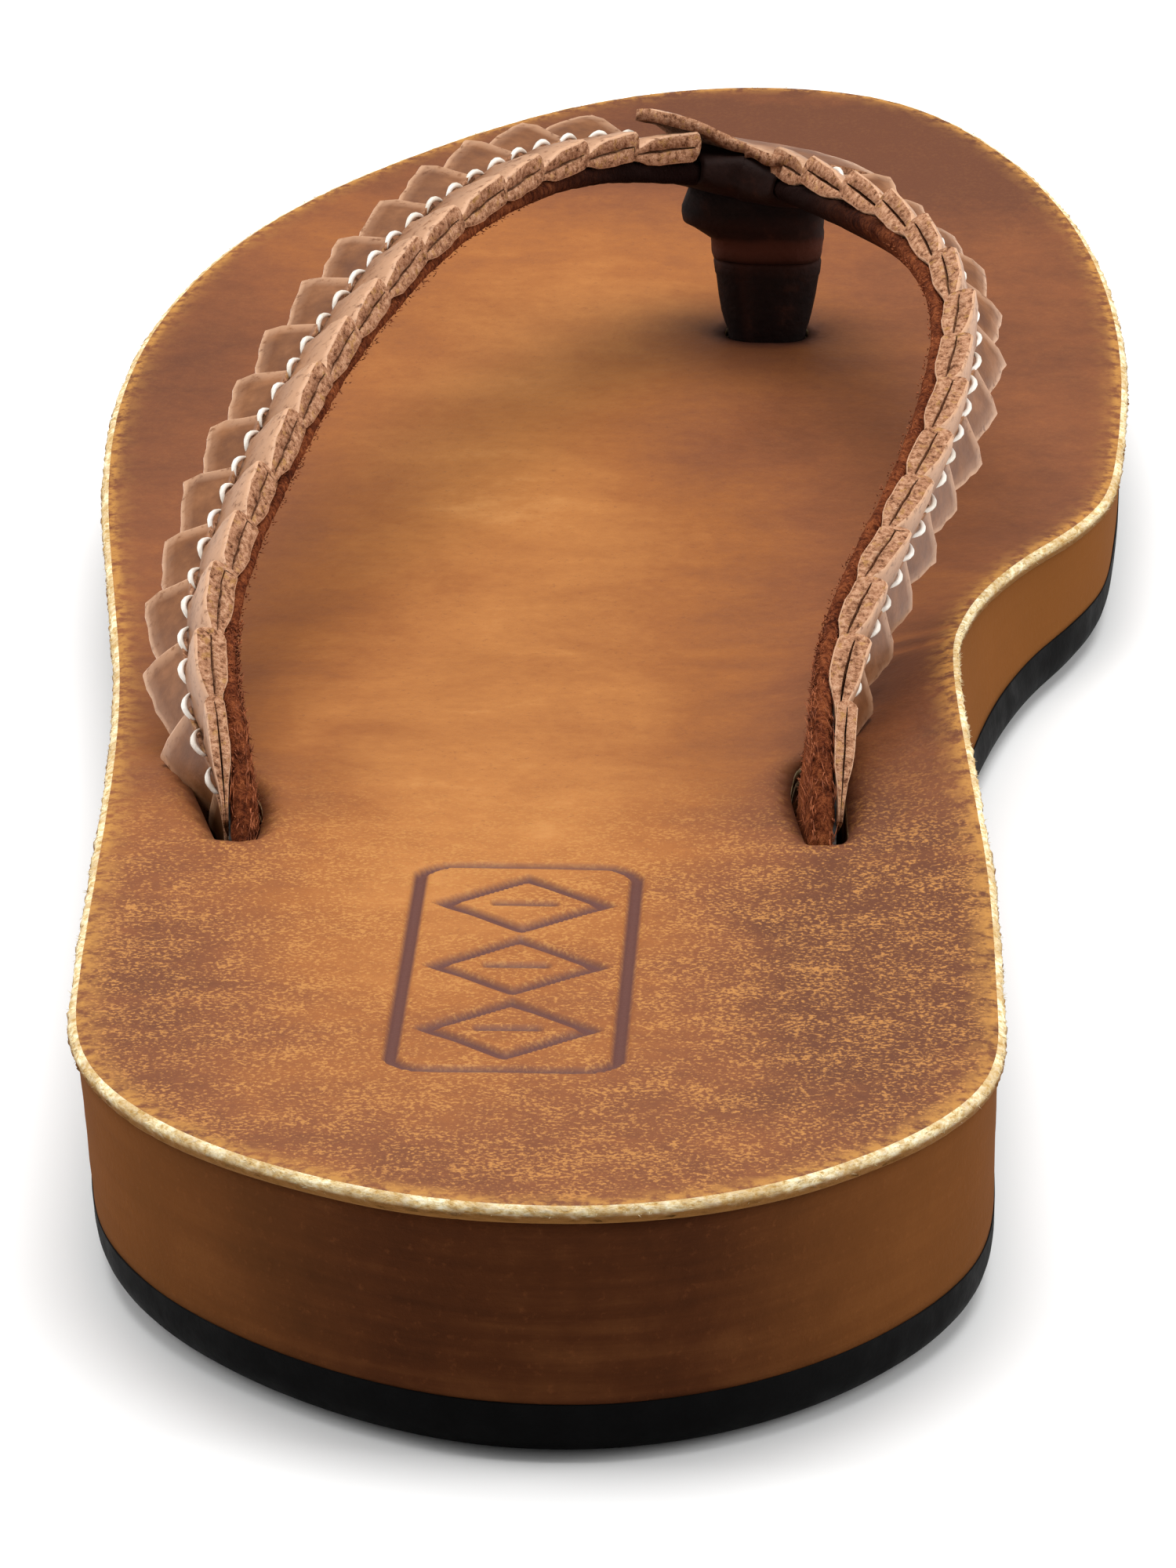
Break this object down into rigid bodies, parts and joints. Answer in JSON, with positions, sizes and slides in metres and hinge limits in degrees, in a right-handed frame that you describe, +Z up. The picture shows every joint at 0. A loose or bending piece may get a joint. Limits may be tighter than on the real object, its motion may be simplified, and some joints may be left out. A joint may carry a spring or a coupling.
{
  "type": "flip flop",
  "caption": "Left-foot flip flop with a leather footbed, foam midsole, rubber outsole and a thong of braided leather straps gathered at a leather toe post.",
  "frame": {"origin": "on the ground plane, under the centre of the bounding box", "axes": "+Z up, +Y from heel to toe, +X towards the arch (medial side)"},
  "size_m": [0.0884, 0.26, 0.0377],
  "materials": {
    "footbed_leather": "satin, grained, raw cream edge",
    "backing_board": "matte fibre board",
    "midsole_foam": "matte buffed foam",
    "outsole_rubber": "matte black",
    "lining_suede": "fuzzy suede",
    "nylon_tape": "woven",
    "thread": "waxed",
    "braid_leather": "smooth face, raw edges",
    "dark_leather": "worn, satin"
  },
  "bodies": {
    "root": {"footbed_leather": "footbed_leather", "footbed_backing": "backing_board", "midsole": "midsole_foam", "outsole": "outsole_rubber", "strap_lining_lateral": "lining_suede", "strap_lining_medial": "lining_suede", "strap_tape_lateral": "nylon_tape", "strap_tape_medial": "nylon_tape", "stitching_lateral": "thread", "stitching_medial": "thread", "braid_inner_lateral": "braid_leather", "braid_outer_lateral": "braid_leather", "braid_inner_medial": "braid_leather", "braid_outer_medial": "braid_leather", "toe_loop": "dark_leather", "toe_post_sleeve": "dark_leather", "toe_post_tape": "nylon_tape"}
  },
  "joints": []
}
